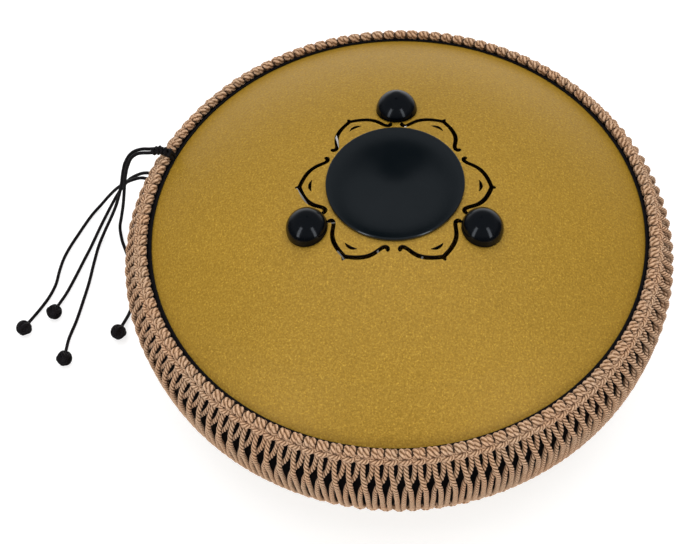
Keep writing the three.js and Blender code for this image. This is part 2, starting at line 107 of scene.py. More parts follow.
# %% A finish from nodes
class Nodes:
    def __init__(self, tree):
        self.tree = tree

    def give(self, socket, value):
        """Join a link to a socket, or set a plain value on it."""
        if isinstance(value, bpy.types.NodeSocket):
            self.tree.links.new(value, socket)
        else:
            socket.default_value = value

    def node(self, kind, inputs=None, **settings):
        made = self.tree.nodes.new("ShaderNode" + kind)
        for name, value in settings.items():
            setattr(made, name, value)
        for socket, value in (inputs or {}).items():
            self.give(made.inputs[socket], value)
        return made

    def noise(self, scale, detail=2.0, roughness=0.5, vector=None, stretch=(1, 1, 1)):
        vector = self.node("Mapping", {"Vector": vector or self.place(), "Scale": stretch}).outputs["Vector"]
        inputs = {"Vector": vector, "Scale": scale, "Detail": detail, "Roughness": roughness}
        return self.node("TexNoise", inputs).outputs["Fac"]

    def place(self):
        return self.node("TexCoord").outputs["Object"]

    def stored(self, name, output="Vector"):
        return self.node("Attribute", attribute_name=name).outputs[output]

    def split(self, vector):
        return self.node("SeparateXYZ", {0: vector}).outputs

    def math(self, operation, first, second=0.0):
        return self.node("Math", {0: first, 1: second}, operation=operation).outputs[0]

    def measure(self, operation, first, second=(0, 0, 0)):
        """A number from vectors: a length, a distance or a dot product."""
        return self.node("VectorMath", {0: first, 1: second}, operation=operation).outputs["Value"]

    def between(self, value, low, high, to_low=0.0, to_high=1.0):
        inputs = {"Value": value, "From Min": low, "From Max": high, "To Min": to_low, "To Max": to_high}
        return self.node("MapRange", inputs).outputs["Result"]

    def ramp(self, value, *stops):
        made = self.node("ValToRGB", {"Fac": value})
        elements = made.color_ramp.elements
        while len(elements) < len(stops):
            elements.new(0.5)
        for element, (position, colour) in zip(elements, stops):
            element.position, element.color = position, (*colour, 1)
        return made.outputs["Color"]

    def blend(self, share, first, second, kind="MIX"):
        inputs = {0: share, 6: first, 7: second}
        return self.node("Mix", inputs, data_type="RGBA", blend_type=kind).outputs[2]

    def tinted(self, colour, *tones):
        for tone in tones:
            colour = self.blend(1.0, colour, tone, "MULTIPLY")
        return colour


class Finish(Nodes):
    def __init__(self, name, slot=None, **values):
        self.material = bpy.data.materials.new(name)
        self.material.use_nodes = True
        self.slot = slot or name
        super().__init__(self.material.node_tree)
        self.shader = self.tree.nodes["Principled BSDF"]
        for socket, value in values.items():
            self.wire(socket.replace("_", " "), value)

    def wire(self, socket, value):
        self.give(self.shader.inputs[socket], value)

    def bump(self, height, strength, distance):
        inputs = {"Height": height, "Strength": strength, "Distance": distance}
        self.wire("Normal", self.node("Bump", inputs).outputs["Normal"])


# %% [markdown]
# Nearly every mesh here is a grid: rows of points whose columns close into a ring. A tube along a route is
# one, and so is a section turned about the axis, so one helper makes the faces of them all.

# %% Grids and turned shapes
def full_turn(count):
    return 2 * np.pi * np.arange(count) / count


def ray(angle):
    return np.stack([np.cos(angle), np.sin(angle)], axis=-1)


def grid_faces(rows, columns, closed=False):
    """Quads of a grid whose columns close into rings. In a closed one the last row also joins the first."""
    i, k = np.meshgrid(np.arange(rows if closed else rows - 1), np.arange(columns), indexing="ij")
    ahead, beside = (i + 1) % rows * columns, (k + 1) % columns
    corners = [i * columns + k, i * columns + beside, ahead + beside, ahead + k]
    return np.stack(corners, -1).reshape(-1, 4)


def turned(section, columns, closed=True, tips=None):
    """A section of radius and height turned about the axis. An open one ends in points on the axis."""
    section = np.asarray(section, float)
    ring = section[:, None, 0:1] * ray(full_turn(columns))
    height = np.broadcast_to(section[:, None, 1:2], (len(section), columns, 1))
    points = np.concatenate([ring, height], axis=2).reshape(-1, 3)
    faces = [grid_faces(len(section), columns, closed)]
    if not closed:
        k, last, pole = np.arange(columns), (len(section) - 1) * columns, np.full(columns, len(points))
        beside = (k + 1) % columns
        low, high = tips or (section[0, 1], section[-1, 1])
        points = np.concatenate([points, [[0, 0, low], [0, 0, high]]])
        faces += [np.stack([pole, beside, k], -1), np.stack([pole + 1, last + k, last + beside], -1)]
    return points, faces


def joined(parts):
    """Points and faces of several shapes put together as one."""
    points, faces, first = [], {}, 0
    for part_points, groups in parts:
        points.append(part_points)
        for group in groups:
            faces.setdefault(group.shape[1], []).append(group + first)
        first += len(part_points)
    return np.concatenate(points), [np.concatenate(groups) for groups in faces.values()]


# %% [markdown]
# Ropes and cords are tubes swept along a route. A route is a row of points with a smooth curve through them,
# cut into even steps. Frames are carried along the route without twist, and many routes are swept at once,
# because the belt repeats one unit all round the drum.

# %% Routes and tubes
CURVE_STEPS = 16


def smooth_routes(routes, steps):
    """Even steps on centripetal curves through the points of each route."""
    routes = np.asarray(routes, float)
    ends = [2 * routes[:, :1] - routes[:, 1:2], routes, 2 * routes[:, -1:] - routes[:, -2:-1]]
    points = np.concatenate(ends, axis=1)
    knots = np.sqrt(np.maximum(np.linalg.norm(np.diff(points, axis=1), axis=2), 1e-6))
    fine = []
    for i in range(1, points.shape[1] - 2):
        t1 = knots[:, i - 1, None, None]
        t2 = t1 + knots[:, i, None, None]
        t3 = t2 + knots[:, i + 1, None, None]
        t = t1 + (t2 - t1) * np.linspace(0, 1, CURVE_STEPS, endpoint=False)[None, :, None]
        places = [points[:, i + k, None] for k in (-1, 0, 1, 2)]
        for spans in (((0, t1), (t1, t2), (t2, t3)), ((0, t2), (t1, t3)), ((t1, t2),)):
            places = [
                (end - t) / (end - start) * before + (t - start) / (end - start) * after
                for (start, end), before, after in zip(spans, places, places[1:])
            ]
        fine.append(places[0])
    fine = np.concatenate([*fine, routes[:, -1:]], axis=1)
    return np.array([even_steps(line, steps) for line in fine])


def even_steps(line, steps):
    along = np.concatenate([[0], np.cumsum(np.linalg.norm(np.diff(line, axis=0), axis=1))])
    at = np.linspace(0, along[-1], steps + 1)
    return np.stack([np.interp(at, along, line[:, k]) for k in range(3)], axis=1)


def unit(vectors):
    return vectors / np.maximum(np.linalg.norm(vectors, axis=-1, keepdims=True), 1e-12)


def carried_frames(lines):
    """Normal and side directions along each line, carried without twist."""
    tangent = unit(np.gradient(lines, axis=1))
    normal = np.zeros_like(lines)
    guess = np.where(np.abs(tangent[:, 0, 2:3]) < 0.9, [[0.0, 0.0, 1.0]], [[1.0, 0.0, 0.0]])
    for i in range(lines.shape[1]):
        guess = guess - (guess * tangent[:, i]).sum(1, keepdims=True) * tangent[:, i]
        guess = unit(guess)
        normal[:, i] = guess
    return normal, np.cross(tangent, normal)


def sweep(lines, section, pitch=None, closed=False, girth=1.0):
    """Tubes with the given radii round their lines: points, faces and the place on the straight cord."""
    count, length, _ = lines.shape
    sides = len(section)
    normal, side = carried_frames(lines)
    along = np.cumsum(np.linalg.norm(np.diff(lines, axis=1, prepend=lines[:, :1]), axis=2), axis=1)
    turn = np.zeros_like(along) if pitch is None else -2 * np.pi * along / pitch
    angle = turn[..., None] + full_turn(sides)
    across, outward = section * np.cos(angle), section * np.sin(angle)
    girth = np.broadcast_to(girth, length)[None, :, None, None]
    offset = across[..., None] * normal[:, :, None] + outward[..., None] * side[:, :, None]
    points = lines[:, :, None] + girth * offset
    straight = np.stack([across, outward, np.broadcast_to(along[..., None], across.shape)], axis=-1)
    quads = grid_faces(length, sides, closed)
    halves = np.concatenate([quads[:, [0, 1, 2]], quads[:, [0, 2, 3]]])
    first = np.arange(count)[:, None] * length * sides
    faces = [(halves[None] + first[..., None]).reshape(-1, 3)]
    if not closed:
        ring = np.arange(sides)
        faces += [ring[None, ::-1] + first, ring[None] + (length - 1) * sides + first]
    return points.reshape(-1, 3), faces, straight.reshape(-1, 3)


def tube_piece(name, lines, section, finish, nodes, **form):
    points, faces, straight = sweep(lines, section, **form)
    return make_piece(name, points, faces, finish, nodes, straight=straight)


# %% [markdown]
# The black cord is a fine braid of waxed thread. Its finish follows the cord and not the room, so the place
# on the straightened cord is stored with each point, and two sets of slanting ridges make the braid from it.
# The colour is darker in the furrows between the ridges than on their crests, which is painted shade.

# %% Black cord finish
BRAID_RIDGES, BRAID_SLANT = 4.0, 5.2
CORD_FURROW_SHADE, CORD_LIGHT = (0.0015, 0.0012, 0.0016), (0.006, 0.0046, 0.006)
cord = Finish("black_cord", Roughness=0.5, Specular_IOR_Level=0.22, Sheen_Weight=0.04, Sheen_Roughness=0.4)
cord_parts = cord.split(cord.stored("straight"))
turn = cord.math("ARCTAN2", cord_parts["Y"], cord_parts["X"])
around = cord.math("MULTIPLY", turn, BRAID_RIDGES)
along = cord.math("MULTIPLY", cord_parts["Z"], BRAID_SLANT)
ridges = [cord.math("SINE", cord.math(way, around, along)) for way in ("ADD", "SUBTRACT")]
braid = cord.math("MAXIMUM", *ridges)
cord.bump(braid, 0.35, 0.00018)
# Painted shade: the colour goes darker from the crests of the braid down into its furrows.
crest_share = cord.between(braid, -0.6, 1.0)
cord.wire("Base Color", cord.ramp(crest_share, (0.0, CORD_FURROW_SHADE), (1.0, CORD_LIGHT)))

# %% [markdown]
# The tie: two doubled cords leave the belt, fall beside the drum and lie on the table, each with a ball knot.
# The photograph shows each cord from end to end, so those are the lengths. The routes are the solids' own.

# %% Free cords
CORD_DIAMETER, CORD_STEPS = 2.5, 220
STRAND_ROUTES = [
    [
        (-165.3, 60.2, 127.1), (-170.2, 59.9, 127.3), (-175.6, 59.8, 126.9), (-180.0, 60.2, 126.3),
        (-185.5, 60.6, 123.9), (-190.7, 61.1, 118.6), (-196.0, 62.4, 108.0), (-201.2, 65.8, 91.4),
        (-206.1, 69.8, 72.5), (-212.3, 74.1, 51.2), (-219.4, 78.0, 29.9), (-226.3, 78.3, 13.4),
        (-231.7, 71.7, 5.0), (-235.2, 60.8, 1.9), (-236.9, 45.0, 1.5), (-238.2, 26.7, 1.5),
        (-240.4, 9.6, 1.5), (-242.9, -7.3, 1.6), (-246.2, -23.1, 1.8), (-246.1, -35.8, 4.8),
    ],
    [
        (-166.4, 57.1, 127.1), (-171.2, 56.3, 127.6), (-175.8, 55.9, 127.5), (-179.9, 56.2, 127.0),
        (-184.6, 56.8, 124.8), (-189.2, 57.2, 119.6), (-193.8, 58.6, 108.8), (-198.4, 61.8, 93.4),
        (-202.9, 66.4, 75.0), (-207.3, 70.8, 55.9), (-211.9, 74.5, 36.4), (-217.0, 77.9, 16.9),
        (-220.1, 76.1, 4.4), (-217.8, 66.8, 1.8), (-213.4, 56.5, 1.5), (-207.9, 44.6, 1.5),
        (-203.4, 30.0, 1.5), (-201.8, 14.7, 1.6), (-203.2, 1.4, 1.8), (-206.8, -12.7, 4.8),
    ],
    [
        (-179.6, 75.7, 70.7), (-185.6, 80.2, 70.3), (-192.2, 84.4, 65.4), (-199.1, 87.7, 58.3),
        (-206.8, 91.8, 47.7), (-215.4, 95.8, 32.3), (-223.8, 98.6, 15.7), (-230.7, 95.4, 3.9),
        (-234.6, 85.5, 1.8), (-237.8, 74.0, 1.5), (-241.1, 60.8, 1.5), (-245.3, 46.3, 1.5),
        (-249.4, 32.0, 1.5), (-253.9, 17.4, 1.8), (-258.0, 3.9, 4.8),
    ],
    [
        (-179.6, 75.7, 66.1), (-187.0, 78.6, 65.0), (-193.9, 81.7, 62.9), (-201.0, 84.0, 57.8),
        (-210.1, 88.6, 46.9), (-220.4, 95.2, 30.6), (-230.4, 100.0, 13.7), (-238.2, 99.1, 3.3),
        (-243.9, 91.6, 1.7), (-248.8, 81.5, 1.5), (-253.2, 70.9, 1.5), (-257.6, 60.0, 1.5),
        (-261.0, 48.8, 1.5), (-262.7, 37.2, 1.5), (-263.6, 25.3, 1.5), (-266.6, 14.5, 1.5),
        (-271.7, 3.2, 1.8), (-277.8, -11.0, 4.8),
    ],
]
CORD_SECTION = np.full(12, CORD_DIAMETER / 2)


def route_length(line):
    return float(np.linalg.norm(np.diff(line, axis=0), axis=1).sum())


cord_lines, cord_pieces = [], []
for number, route in enumerate(STRAND_ROUTES, 1):
    line = smooth_routes([route], CORD_STEPS)
    name = f"cord_strand_{number}"
    cord_pieces.append(tube_piece(name, line, CORD_SECTION, cord, [f"tie_strand_{number}"]))
    cord_lines.append(line[0])
    print(name, "length", round(route_length(line[0]), 1), "mm")

# %% [markdown]
# The ball knots are buttons woven from the cord's own end. On a ball, a line that goes round three times
# while it swings north and south four times crosses itself in a regular weave. It is lifted and lowered in
# turn, to pass over and under itself, and a core fills the middle, as the cord's end does in a real one.

# %% Ball knots
KNOT_RADIUS, KNOT_LENGTH, KNOT_HEIGHT, KNOT_OVERLAP = 6.0, 13.5, 6.1, 0.4
KNOT_TURNS, KNOT_SWINGS, KNOT_ROLL = 3, 4, 0.7
WEAVE_INSET, WEAVE_DEPTH, WEAVE_SWING, WEAVE_CORD_RADIUS, CORE_INSET = 1.75, 0.5, 1.18, 1.28, 1.6

t = full_turn(260)
longitude, latitude = KNOT_TURNS * t, WEAVE_SWING * np.sin(KNOT_SWINGS * t)
reach = KNOT_RADIUS - WEAVE_INSET + WEAVE_DEPTH * np.cos((KNOT_TURNS - 1) * KNOT_SWINGS * t)
flat = reach * np.cos(latitude)
weave = np.stack([reach * np.sin(latitude), flat * np.cos(longitude), flat * np.sin(longitude)], axis=1)
woven = sweep(weave[None], np.full(10, WEAVE_CORD_RADIUS), closed=True)

core_radius = KNOT_RADIUS - CORE_INSET
latitude = np.linspace(-np.pi / 2, np.pi / 2, 13)[1:-1]
core_points, core_faces = turned(
    core_radius * ray(latitude), 20, closed=False, tips=(-core_radius, core_radius)
)
core_points = core_points[:, [2, 0, 1]]
knot_points, knot_faces = joined([woven[:2], (core_points, core_faces)])
knot_straight = np.concatenate([woven[2], core_points])

for number, (line, strand) in enumerate(zip(cord_lines, cord_pieces), 1):
    heading = unit((line[-1] - line[-12]) * (1, 1, 0))
    centre = line[-1] + heading * (KNOT_LENGTH / 2 - KNOT_OVERLAP)
    centre[2] = KNOT_HEIGHT
    axes = np.stack([heading * KNOT_LENGTH / 2 / KNOT_RADIUS, np.cross([0, 0, 1], heading), [0, 0, 1]])
    cosine, sine = math.cos(KNOT_ROLL * number), math.sin(KNOT_ROLL * number)
    rolled = np.array([[1, 0, 0], [0, cosine, sine], [0, -sine, cosine]])
    knot = make_piece(
        f"ball_knot_{number}", knot_points @ rolled @ axes + centre, knot_faces, cord,
        [f"end_knot_{number}"], straight=knot_straight,
    )

# %% [markdown]
# The drum's section gives every other piece its place. A dome runs into a round shoulder and a short straight
# side, and the lower shell is the same turned over. Heights in the section are counted from the weld between
# the shells.

# %% The drum's section
SHELL_RADIUS, SHELL_WALL, DOME_RADIUS = 179.0, 1.8, 290.0
SHOULDER_RADIUS, SIDE_HALF_HEIGHT, CROWN_FLAT_RADIUS = 30.0, 10.5, 30.0
WELD_HALF_HEIGHT, CLEARANCE, BAND_WALL = 1.2, 0.3, 1.1
SHOULDER_CENTRE = SHELL_RADIUS - SHOULDER_RADIUS
DOME_CENTRE = SIDE_HALF_HEIGHT - math.sqrt((DOME_RADIUS - SHOULDER_RADIUS) ** 2 - SHOULDER_CENTRE**2)
TANGENT_ANGLE = math.asin(SHOULDER_CENTRE / (DOME_RADIUS - SHOULDER_RADIUS))


def dome_height(radius, lift=0.0):
    return DOME_CENTRE + np.sqrt((DOME_RADIUS + lift) ** 2 - np.square(radius))


WELD_PLANE = float(dome_height(CROWN_FLAT_RADIUS))
AT_WELD = np.array([0, 0, WELD_PLANE])


def dome_arc(lift, from_radius, steps):
    radius = DOME_RADIUS + lift
    angle = np.linspace(math.asin(from_radius / radius), TANGENT_ANGLE, steps, endpoint=False)
    return np.stack([radius * np.sin(angle), DOME_CENTRE + radius * np.cos(angle)], axis=1)


def shoulder_arc(lift, steps):
    angle = np.linspace(TANGENT_ANGLE, math.pi / 2, steps)
    radius = SHOULDER_RADIUS + lift
    return np.stack(
        [SHOULDER_CENTRE + radius * np.sin(angle), SIDE_HALF_HEIGHT + radius * np.cos(angle)], axis=1
    )


print("weld plane", round(WELD_PLANE, 2), "apex", round(WELD_PLANE + float(dome_height(0)), 2))

# %% [markdown]
# The belt is what makes this drum: one tan rope, knotted all round in 126 units. Each is hitched twice over a
# ring cord at the edge, with a short bar in front, and its two ends run down to the other edge, one crossing
# in front and the other behind. The rope is three plies laid together, so its section has three lobes that
# turn as it runs. Its colour goes by the distance from the rope's middle: near black in the furrows between
# the plies, which is painted shade, and pale on the crowns of the plies, which is a painted highlight.

# %% Rope finish
rope = Finish("tan_rope", Roughness=0.88, Sheen_Weight=0.06, Sheen_Roughness=0.5, Specular_IOR_Level=0.2)
straight_rope = rope.stored("straight")
rope_parts = rope.split(straight_rope)
flat_part = rope.node("CombineXYZ", {"X": rope_parts["X"], "Y": rope_parts["Y"]}).outputs[0]
from_middle = rope.measure("LENGTH", flat_part)
fibres = rope.noise(1.6, 3.0, 0.6, straight_rope, (3.2, 3.2, 0.5))
# Painted shade in the furrows between the plies and painted highlight on their crowns, by distance from the
# rope's middle.
ply_shade_and_highlight = rope.ramp(
    rope.between(from_middle, 1.0, 1.7),
    (0.0, (0.045, 0.017, 0.006)), (0.4, (0.19, 0.098, 0.044)),
    (0.75, (0.53, 0.355, 0.233)), (1.0, (0.78, 0.56, 0.4)),
)
fibre_tone = rope.ramp(fibres, (0.3, (0.52, 0.46, 0.41)), (0.7, (1.26, 1.25, 1.25)))
batch = rope.noise(55.0, 1.0)
batch_tone = rope.ramp(batch, (0.3, (1.0, 0.93, 0.86)), (0.7, (0.98, 1.0, 1.0)))
rope.wire("Base Color", rope.tinted(ply_shade_and_highlight, fibre_tone, batch_tone))
rope.bump(fibres, 0.6, 0.00025)

# %% [markdown]
# Places on the belt are counted in units along it and lie in a section through the shoulder. A hitch is a
# row of such places. It comes up from the net, goes over the ring cord to the rim side, makes the bar and
# goes back in mirror, so one route serves all units of both edges. Small seeded changes keep the units from
# looking stamped.

# %% One unit of the belt
BELT_UNITS, BELT_SHIFT, LOWER_SHIFT = 126, 0.71, 0.44
RING_REACH, RING_ANGLE, ON_BAND = 34.5, math.radians(50.6), 33.0
SHARE_JITTER, SECTION_JITTER = 0.014, 0.1
SLIP, SLIP_TO_LEFT, SLIP_POWER = 2.1, 0.4, 1.5
SHOULDER = np.array([SHOULDER_CENTRE, SIDE_HALF_HEIGHT])
OUT_OF_RING = ray(RING_ANGLE)
RIMWARD = np.array([OUT_OF_RING[1], -OUT_OF_RING[0]])
RING_CENTRE = SHOULDER + RING_REACH * OUT_OF_RING
belt_random = np.random.default_rng(126)


def hitch_point(turn, reach, flat=0.7):
    """Place in the section at a turn round the ring cord: 0 outermost, 90 the rim side, -90 the gold side."""
    turn = math.radians(turn)
    return RING_CENTRE + reach * (flat * math.cos(turn) * OUT_OF_RING + math.sin(turn) * RIMWARD)


def band_point(angle):
    return SHOULDER + ON_BAND * ray(math.radians(angle))


TAIL = [band_point(38), hitch_point(175, 1.5), hitch_point(-135, 1.6)]
WRAP = [
    (0.2, hitch_point(-90, 1.7)), (0.2, hitch_point(-45, 1.75)), (0.2, hitch_point(0, 1.75)),
    (0.2, hitch_point(45, 1.75)), (0.24, hitch_point(85, 1.9)), (0.39, hitch_point(98, 3.2, 1)),
    (0.36, hitch_point(88, 4.6, 1)), (0.2, hitch_point(81, 5.2, 1)),
]
HITCH = [
    *zip((-0.34, -0.27, -0.21), TAIL), *[(-share, place) for share, place in WRAP],
    (0.0, hitch_point(79, 5.5, 1)), *WRAP[::-1], *zip((0.16, 0.1, 0.04), TAIL[::-1]),
]


def belt_angle(shares):
    return 2 * np.pi * (np.asarray(shares) + BELT_SHIFT) / BELT_UNITS


def round_drum(shares, sections):
    """Points of the drum's frame from places along the belt, in units, and places in the section."""
    angle = belt_angle(shares)
    radius, height = np.asarray(sections)[..., 0], np.asarray(sections)[..., 1]
    return np.stack([radius * np.cos(angle), radius * np.sin(angle), height + WELD_PLANE], axis=-1)


def sag(angle):
    """How far the upper edge has slid towards the rim: not at the front and far side, most at the left."""
    turn = np.cos(angle)
    return (SLIP - SLIP_TO_LEFT * turn) * np.abs(turn) ** SLIP_POWER


def hitch_routes(side):
    units = np.arange(BELT_UNITS)[:, None]
    shape = (BELT_UNITS, len(HITCH))
    share = np.array([share for share, _ in HITCH]) + belt_random.normal(0, SHARE_JITTER, shape)
    section = np.array([place for _, place in HITCH]) + belt_random.normal(0, SECTION_JITTER, (*shape, 2))
    if side < 0:
        return round_drum(units + LOWER_SHIFT - share, section * (1, -1))
    return round_drum(units + share, section + sag(belt_angle(units))[..., None] * RIMWARD)


print("places in a hitch", len(HITCH), "units", BELT_UNITS)

# %% [markdown]
# Each edge of the belt is a ring cord with its hitches, and the rope is thicker where it wraps the cord
# than in the bar. The ring cord is coloured near black, which is painted shade for the deep notches between
# the hitches. The upper edge is loose on the shoulder and has slid towards the rim at the left and right.
# The lower edge is the upper one turned over and moved along by less than half a unit.

# %% Edges of the belt
ROPE_DIAMETER, ROPE_PITCH, HITCH_STEPS = 3.2, 7.8, 64
ROPE_LOBES, WRAP_LOBES = np.tile([0.7, 0.95, 1.05, 0.95], 3), np.tile([0.77, 0.96, 1.04, 0.96], 3)
WRAP_GIRTH, WRAP_PITCH, BAR_GIRTH = 1.32, 6.4, 0.98
CORE_REACH, RING_GIRTH, RING_STEPS = 33.6, 1.4, 1400


def rope_pieces(names, lines, nodes, lobes=ROPE_LOBES, pitch=ROPE_PITCH, girth=1.0):
    for name, part in zip(names, np.array_split(lines, len(names))):
        tube_piece(name, part, lobes * ROPE_DIAMETER / 2, rope, nodes, pitch=pitch, girth=girth)


# The ring cord's near-black brown colour is painted shade for the deep notches between the hitches.
painted_shade_cord = Finish("painted_shade_cord", slot="tan_rope", Roughness=0.9, Specular_IOR_Level=0.15)
strands = painted_shade_cord.noise(900.0, 3.0, stretch=(1, 1, 3))
painted_shade_tone = painted_shade_cord.ramp(strands, (0.3, (0.02, 0.011, 0.006)), (0.7, (0.07, 0.043, 0.026)))
painted_shade_cord.wire("Base Color", painted_shade_tone)
painted_shade_cord.bump(strands, 0.5, 0.0003)
from_bar = np.abs(np.linspace(-1, 1, HITCH_STEPS + 1))
hitch_girth = np.interp(from_bar, [0.0, 0.24, 0.4, 1.0], [BAR_GIRTH, 1.0, WRAP_GIRTH, WRAP_GIRTH])
for edge, side in (("upper", 1), ("lower", -1)):
    node = [f"{edge}_edge_braid"]
    hitches = smooth_routes(hitch_routes(side), HITCH_STEPS)
    rope_pieces([f"{edge}_hitches"], hitches, node, WRAP_LOBES, WRAP_PITCH, hitch_girth)
    circle = np.linspace(0, BELT_UNITS, RING_STEPS, endpoint=False)
    slid = (side > 0) * sag(belt_angle(circle))[:, None] * RIMWARD
    ring = round_drum(circle, (SHOULDER + CORE_REACH * OUT_OF_RING + slid) * (1, side))
    lobes = ROPE_LOBES * ROPE_DIAMETER / 2
    tube_piece(f"{edge}_ring_cord", ring[None], lobes, painted_shade_cord, node, closed=True, girth=RING_GIRTH)

# %% [markdown]
# Between its edges the rope runs over the side of the drum. The front strand is nearly upright with a slant
# at its middle, the back one leans across a whole unit, and where they cross the front one is lifted over it.

# %% Strands of the net
STRAND_RISE, NET_STEPS = 33.0, 92
STRAND_JITTER, LIFT_JITTER = 0.012, 0.12
SLACK, SLACK_MIDDLE, SLACK_SPREAD = 3.1, 0.08, 0.5
CROSSING_LIFT, CROSSING, CROSSING_SPREAD = 3.1, 0.55, 0.3
FRONT_COURSE = np.array([
    (1.08, 0.0), (0.8, 0.02), (0.68, 0.08), (0.57, 0.19), (0.42, 0.29), (0.2, 0.33), (-0.3, 0.36),
    (-1.08, 0.38),
])
BACK_COURSE = np.array([
    (1.08, -0.34), (0.95, -0.34), (0.8, -0.4), (0.68, -0.5), (0.6, -0.66), (0.5, -0.9), (0.42, -1.04),
    (0.3, -1.13), (0.0, -1.2), (-1.08, -1.23),
])


def side_place(share, lift):
    height = np.abs(share) * STRAND_RISE
    angle = np.maximum(height - SIDE_HALF_HEIGHT, 0) / ON_BAND
    reach = ON_BAND + lift
    radius = SHOULDER_CENTRE + reach * np.cos(angle)
    rise = np.where(height < SIDE_HALF_HEIGHT, height, SIDE_HALF_HEIGHT + reach * np.sin(angle))
    return np.stack([radius, np.sign(share) * rise], axis=-1)


def strand_routes(places, across, lifts):
    units = np.arange(BELT_UNITS)[:, None]
    shape = (BELT_UNITS, len(places))
    share = np.interp(-places, -across[:, 0], across[:, 1]) + belt_random.normal(0, STRAND_JITTER, shape)
    lifts = lifts + np.abs(belt_random.normal(0, LIFT_JITTER, shape))
    return round_drum(units + share, side_place(np.broadcast_to(places, shape), lifts))


down = np.linspace(1.08, -1.08, 25)
slack = SLACK * np.exp(-(((down - SLACK_MIDDLE) / SLACK_SPREAD) ** 2))
lifted = slack + CROSSING_LIFT * np.exp(-(((down - CROSSING) / CROSSING_SPREAD) ** 2))
for way, course, lifts in (("front", FRONT_COURSE, lifted), ("back", BACK_COURSE, slack)):
    lines = smooth_routes(strand_routes(down, course, lifts), NET_STEPS)
    rope_pieces([f"{way}_strands_1", f"{way}_strands_2"], lines, ["rope_net"])

# %% [markdown]
# Where the cord is tied on above, the doubled cord comes from under the edge of the belt, lies over it, and
# is wrapped by a few turns that a hand has wound a little unevenly.

# %% Upper tie
ARCH = [(182, 4.4), (165, 4.5), (145, 4.6), (125, 4.7), (105, 4.9), (85, 5.2), (66, 5.6)]
ARCH_STEPS, WRAP_FROM, WRAP_UNTIL = 40, 18, 7
TIE_TURNS, TIE_LOOP, TIE_LOOP_HEIGHT = 4.2, 2.3, 1.9
TURN_UNEVEN, LOOP_UNEVEN = 0.12, 0.3


def over_edge(angle, turn, reach):
    turn = math.radians(turn)
    out, up = RING_CENTRE + sag(angle) * RIMWARD
    out += reach * math.cos(turn)
    return (out * math.cos(angle), out * math.sin(angle), WELD_PLANE + up + reach * math.sin(turn))


arches = []
for route in STRAND_ROUTES[:2]:
    angle = math.atan2(route[0][1], route[0][0])
    arches.append([*[over_edge(angle, turn, reach) for turn, reach in ARCH], route[0]])
arch_lines = smooth_routes(arches, ARCH_STEPS)
first_steps = (cord_lines[0][1:WRAP_UNTIL] + cord_lines[1][1:WRAP_UNTIL]) / 2
pair = even_steps(np.concatenate([arch_lines.mean(0)[WRAP_FROM:], first_steps]), 120)
heading = unit(np.gradient(pair, axis=0))
spread = unit(cord_lines[1][0] - cord_lines[0][0])
wide = unit(spread - (spread * heading).sum(1, keepdims=True) * heading)
high = np.cross(heading, wide)
at = np.linspace(0, 1, len(pair))
winding = 2 * np.pi * (TIE_TURNS * at + TURN_UNEVEN * np.sin(9 * at))
loop = TIE_LOOP + LOOP_UNEVEN * np.sin(14 * at)
wrap = pair + wide * (loop * np.cos(winding))[:, None] + high * (TIE_LOOP_HEIGHT * np.sin(winding))[:, None]
tie = [sweep(arch_lines, CORD_SECTION), sweep(even_steps(wrap, 240)[None], np.full(10, CORD_DIAMETER / 2))]
points, faces = joined([part[:2] for part in tie])
straight = np.concatenate([part[2] for part in tie])
make_piece("upper_tie", points, faces, cord, ["tie_knot_upper"], straight=straight)

# %% [markdown]
# Below, the two other ends leave a small overhand knot on the net. A line that goes twice round while it
# rises and falls three times is such a knot, so it needs no points set by hand.

# %% Lower tie
LOWER_TIE_UNIT, LOWER_TIE_RADIUS, LOWER_TIE_DROP = 55, 190.85, 17.5
OVERHAND_SIZE, OVERHAND_DEPTH = 1.05, 1.3
angle = 2 * math.pi * LOWER_TIE_UNIT / BELT_UNITS
outward = np.append(ray(angle), 0)
axes = np.stack([outward, np.cross([0, 0, 1], outward), [0, 0, 1]])
t = full_turn(140)
overhand = OVERHAND_SIZE * np.stack(
    [OVERHAND_DEPTH * np.sin(3 * t), np.sin(t) + 2 * np.sin(2 * t), np.cos(t) - 2 * np.cos(2 * t)], axis=1
)
line = overhand @ axes + outward * LOWER_TIE_RADIUS + AT_WELD - (0, 0, LOWER_TIE_DROP)
tube_piece("lower_tie", line[None], CORD_SECTION, cord, ["tie_knot_lower"], closed=True)

# %% [markdown]
# The shells are pressed from sheet steel and sprayed gold. The paint is a fine metallic one with a grain that
# can be felt, so its colour, gloss and surface all change over about a millimetre. The walls of the slits are
# dark, as little light gets into them.

# %% Gold paint
SLIT_DARK = (0.008, 0.005, 0.003, 1)
paint = Finish("gold_paint", slot="gold_steel", Metallic=0.2, Specular_IOR_Level=0.45)
grain = paint.noise(700.0, 3.0, 0.6)
flakes = paint.noise(1000.0, 1.0)
clouds = paint.noise(9.0)
gold = paint.ramp(
    grain, (0.3, (0.28, 0.155, 0.012)), (0.5, (0.34, 0.195, 0.018)), (0.72, (0.43, 0.262, 0.033))
)
flake_tone = paint.ramp(flakes, (0.35, (0.9, 0.9, 0.88)), (0.6, (1.0, 1.0, 1.0)), (0.72, (1.35, 1.38, 1.5)))
cloud_tone = paint.ramp(clouds, (0.3, (0.95, 0.95, 0.94)), (0.7, (1.03, 1.03, 1.03)))
painted = paint.tinted(gold, flake_tone, cloud_tone)
slit_wall = paint.stored("slit_wall", "Fac")
paint.wire("Base Color", paint.blend(slit_wall, painted, SLIT_DARK))
paint.wire("Roughness", paint.between(flakes, 0.3, 0.7, 0.38, 0.55))
paint.bump(grain, 0.7, 0.00022)

# %% [markdown]
# The petals and tongues are cut through the shells with a boolean, by bars swept along the slits' middle
# lines. The bars flare at the painted side, so that each slit gets the small soft edge that pressing and
# paint leave.

# %% Cutters for slits
CUT_BELOW, CUT_ABOVE = -6.0, 1.5
FLARE, FLARE_FROM, OVER_SURFACE, END_SHARE = 0.2, -0.4, 0.05, 0.06


